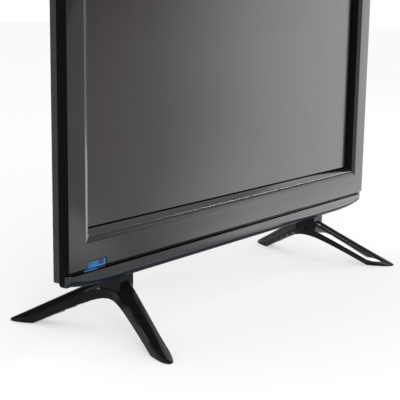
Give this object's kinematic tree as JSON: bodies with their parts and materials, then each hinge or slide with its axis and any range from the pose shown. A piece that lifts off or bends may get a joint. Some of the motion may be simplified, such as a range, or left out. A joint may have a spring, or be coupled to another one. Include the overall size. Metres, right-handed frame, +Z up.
{
  "type": "flat screen television",
  "caption": "Small flat-screen television with a gloss bezel, recessed screen, chin trim and two splayed inverted-V feet, with side keys, rear sockets and a wall-mount pattern.",
  "frame": {"origin": "middle of the footprint of the two feet, on the table top", "axes": "+X to the right as seen by a viewer, +Y from the viewer to the back, +Z up"},
  "size_m": [0.46, 0.171, 0.352],
  "materials": {
    "bezel_gloss": "high gloss dark grey",
    "chin_gloss": "high gloss dark grey",
    "cover_black": "fine moulded texture",
    "foot_gloss": "high gloss black",
    "pad_rubber": "matt",
    "window_blue": "clear tinted",
    "screen_glass": "anti-glare satin, screen off",
    "zinc_steel": "zinc plated",
    "black_steel": "black oxide",
    "frame_white": "satin",
    "film_white": "optical film",
    "guide_clear": "clear acrylic",
    "strip_white": "white solder mask",
    "board_green": "solder mask",
    "board_tan": "phenolic paper board",
    "flex_amber": "polyimide film",
    "cable_white": "satin",
    "part_black": "moulded",
    "led_red": "diffused",
    "sink_aluminium": "extruded",
    "socket_metal": "nickel plated",
    "socket_blue": "moulded",
    "core_yellow": "taped winding",
    "capacitor_sleeve": "shrink sleeve",
    "cone_paper": "coated paper",
    "key_black": "satin",
    "insert_brass": "knurled"
  },
  "bodies": {
    "tv_body": {"front_bezel": "bezel_gloss", "chin_trim": "chin_gloss", "rear_cover": "cover_black", "left_foot": "foot_gloss", "right_foot": "foot_gloss", "foot_pads": "pad_rubber", "ir_window": "window_blue", "lcd_cell": "screen_glass", "panel_frame": "zinc_steel", "back_tray": "zinc_steel", "foot_brackets": "zinc_steel", "board_standoffs": "zinc_steel", "board_screws": "zinc_steel", "tuner_can": "zinc_steel", "rear_cover_screws": "black_steel", "foot_screws": "black_steel", "middle_frame": "frame_white", "prism_sheet": "film_white", "diffuser_sheet": "film_white", "reflector_sheet": "film_white", "light_guide": "guide_clear", "led_strip": "strip_white", "strip_leds": "strip_white", "main_board": "board_green", "source_board": "board_green", "ir_board": "board_green", "key_board": "board_green", "power_board": "board_tan", "panel_flexes": "flex_amber", "lvds_ribbon": "cable_white", "board_link": "cable_white", "processor": "part_black", "ir_receiver": "part_black", "av_sockets": "part_black", "headphone_jack": "part_black", "power_inlet": "part_black", "left_speaker": "part_black", "right_speaker": "part_black", "tact_switches": "part_black", "standby_led": "led_red", "heatsink": "sink_aluminium", "antenna_socket": "socket_metal", "hdmi_sockets": "socket_metal", "usb_socket": "socket_metal", "vga_socket": "socket_blue", "transformer": "core_yellow", "bulk_capacitor": "capacitor_sleeve", "speaker_cones": "cone_paper", "vesa_inserts": "insert_brass"},
    "power_key": {"key_power": "key_black"},
    "source_key": {"key_source": "key_black"},
    "menu_key": {"key_menu": "key_black"},
    "channel_up_key": {"key_channel_up": "key_black"},
    "channel_down_key": {"key_channel_down": "key_black"},
    "volume_up_key": {"key_volume_up": "key_black"},
    "volume_down_key": {"key_volume_down": "key_black"}
  },
  "joints": [
    {"name": "power_press", "type": "slide", "parent": "tv_body", "child": "power_key", "axis": [-1, 0, 0], "range_m": [0, 0.0005], "stiffness_N_per_m": 3000},
    {"name": "source_press", "type": "slide", "parent": "tv_body", "child": "source_key", "axis": [-1, 0, 0], "range_m": [0, 0.0005], "stiffness_N_per_m": 3000},
    {"name": "menu_press", "type": "slide", "parent": "tv_body", "child": "menu_key", "axis": [-1, 0, 0], "range_m": [0, 0.0005], "stiffness_N_per_m": 3000},
    {"name": "channel_up_press", "type": "slide", "parent": "tv_body", "child": "channel_up_key", "axis": [-1, 0, 0], "range_m": [0, 0.0005], "stiffness_N_per_m": 3000},
    {"name": "channel_down_press", "type": "slide", "parent": "tv_body", "child": "channel_down_key", "axis": [-1, 0, 0], "range_m": [0, 0.0005], "stiffness_N_per_m": 3000},
    {"name": "volume_up_press", "type": "slide", "parent": "tv_body", "child": "volume_up_key", "axis": [-1, 0, 0], "range_m": [0, 0.0005], "stiffness_N_per_m": 3000},
    {"name": "volume_down_press", "type": "slide", "parent": "tv_body", "child": "volume_down_key", "axis": [-1, 0, 0], "range_m": [0, 0.0005], "stiffness_N_per_m": 3000}
  ]
}
